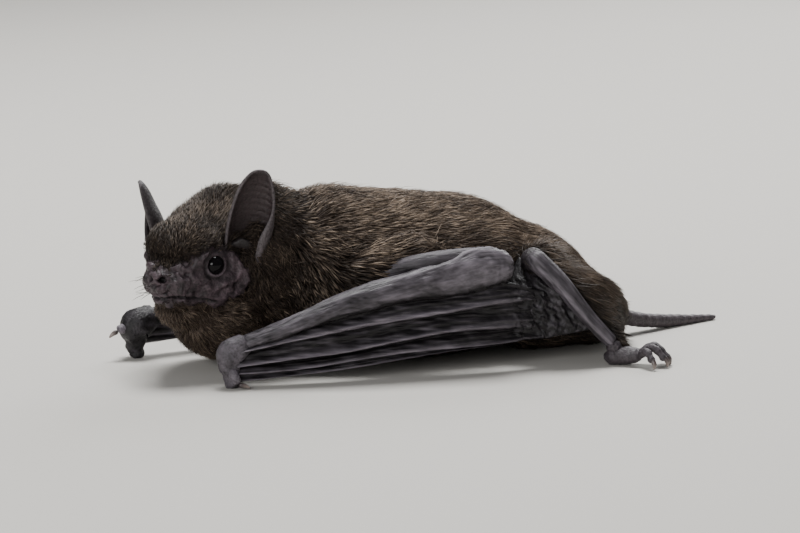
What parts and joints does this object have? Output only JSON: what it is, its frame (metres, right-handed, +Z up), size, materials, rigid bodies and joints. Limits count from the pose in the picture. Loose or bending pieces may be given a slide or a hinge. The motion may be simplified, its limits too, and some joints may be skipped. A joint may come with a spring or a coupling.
{
  "type": "small pipistrelle bat, crouched with folded wings",
  "caption": "Small vesper bat lying on its belly with its wings folded, its head turned to the left and its tail stretched out behind.",
  "frame": {"origin": "on the floor under the belly, at the middle of the flat the trunk rests on", "axes": "+X towards the tail, so the bat faces -X; +Y to the bat's right; +Z up from the floor it lies on"},
  "size_m": [0.0664, 0.035, 0.0203],
  "materials": {
    "fur": "short dark brown fur with paler tips",
    "bare_skin": "thin satin grey-black skin of wings, ears, legs and tail, finely creased",
    "claw": "smooth horn",
    "eye": "wet black"
  },
  "bodies": {
    "root": {"head": "fur", "neck": "fur", "ear_left": "bare_skin", "eye_left": "eye", "upper_arm_left": "bare_skin", "forearm_left": "bare_skin", "wrist_left": "bare_skin", "thumb_left": "bare_skin", "thumb_claw_left": "claw", "finger_5_left": "bare_skin", "finger_4_left": "bare_skin", "finger_3_left": "bare_skin", "hand_membrane_left": "bare_skin", "side_membrane_left": "bare_skin", "thigh_left": "bare_skin", "shin_left": "bare_skin", "foot_left": "bare_skin", "claw_1_left": "claw", "claw_2_left": "claw", "claw_3_left": "claw", "claw_4_left": "claw", "claw_5_left": "claw", "tail_membrane_left": "bare_skin", "ear_right": "bare_skin", "eye_right": "eye", "upper_arm_right": "bare_skin", "forearm_right": "bare_skin", "wrist_right": "bare_skin", "thumb_right": "bare_skin", "thumb_claw_right": "claw", "finger_5_right": "bare_skin", "finger_4_right": "bare_skin", "finger_3_right": "bare_skin", "hand_membrane_right": "bare_skin", "side_membrane_right": "bare_skin", "thigh_right": "bare_skin", "shin_right": "bare_skin", "foot_right": "bare_skin", "claw_1_right": "claw", "claw_2_right": "claw", "claw_3_right": "claw", "claw_4_right": "claw", "claw_5_right": "claw", "tail_membrane_right": "bare_skin", "trunk": "fur", "tail": "bare_skin"}
  },
  "joints": []
}
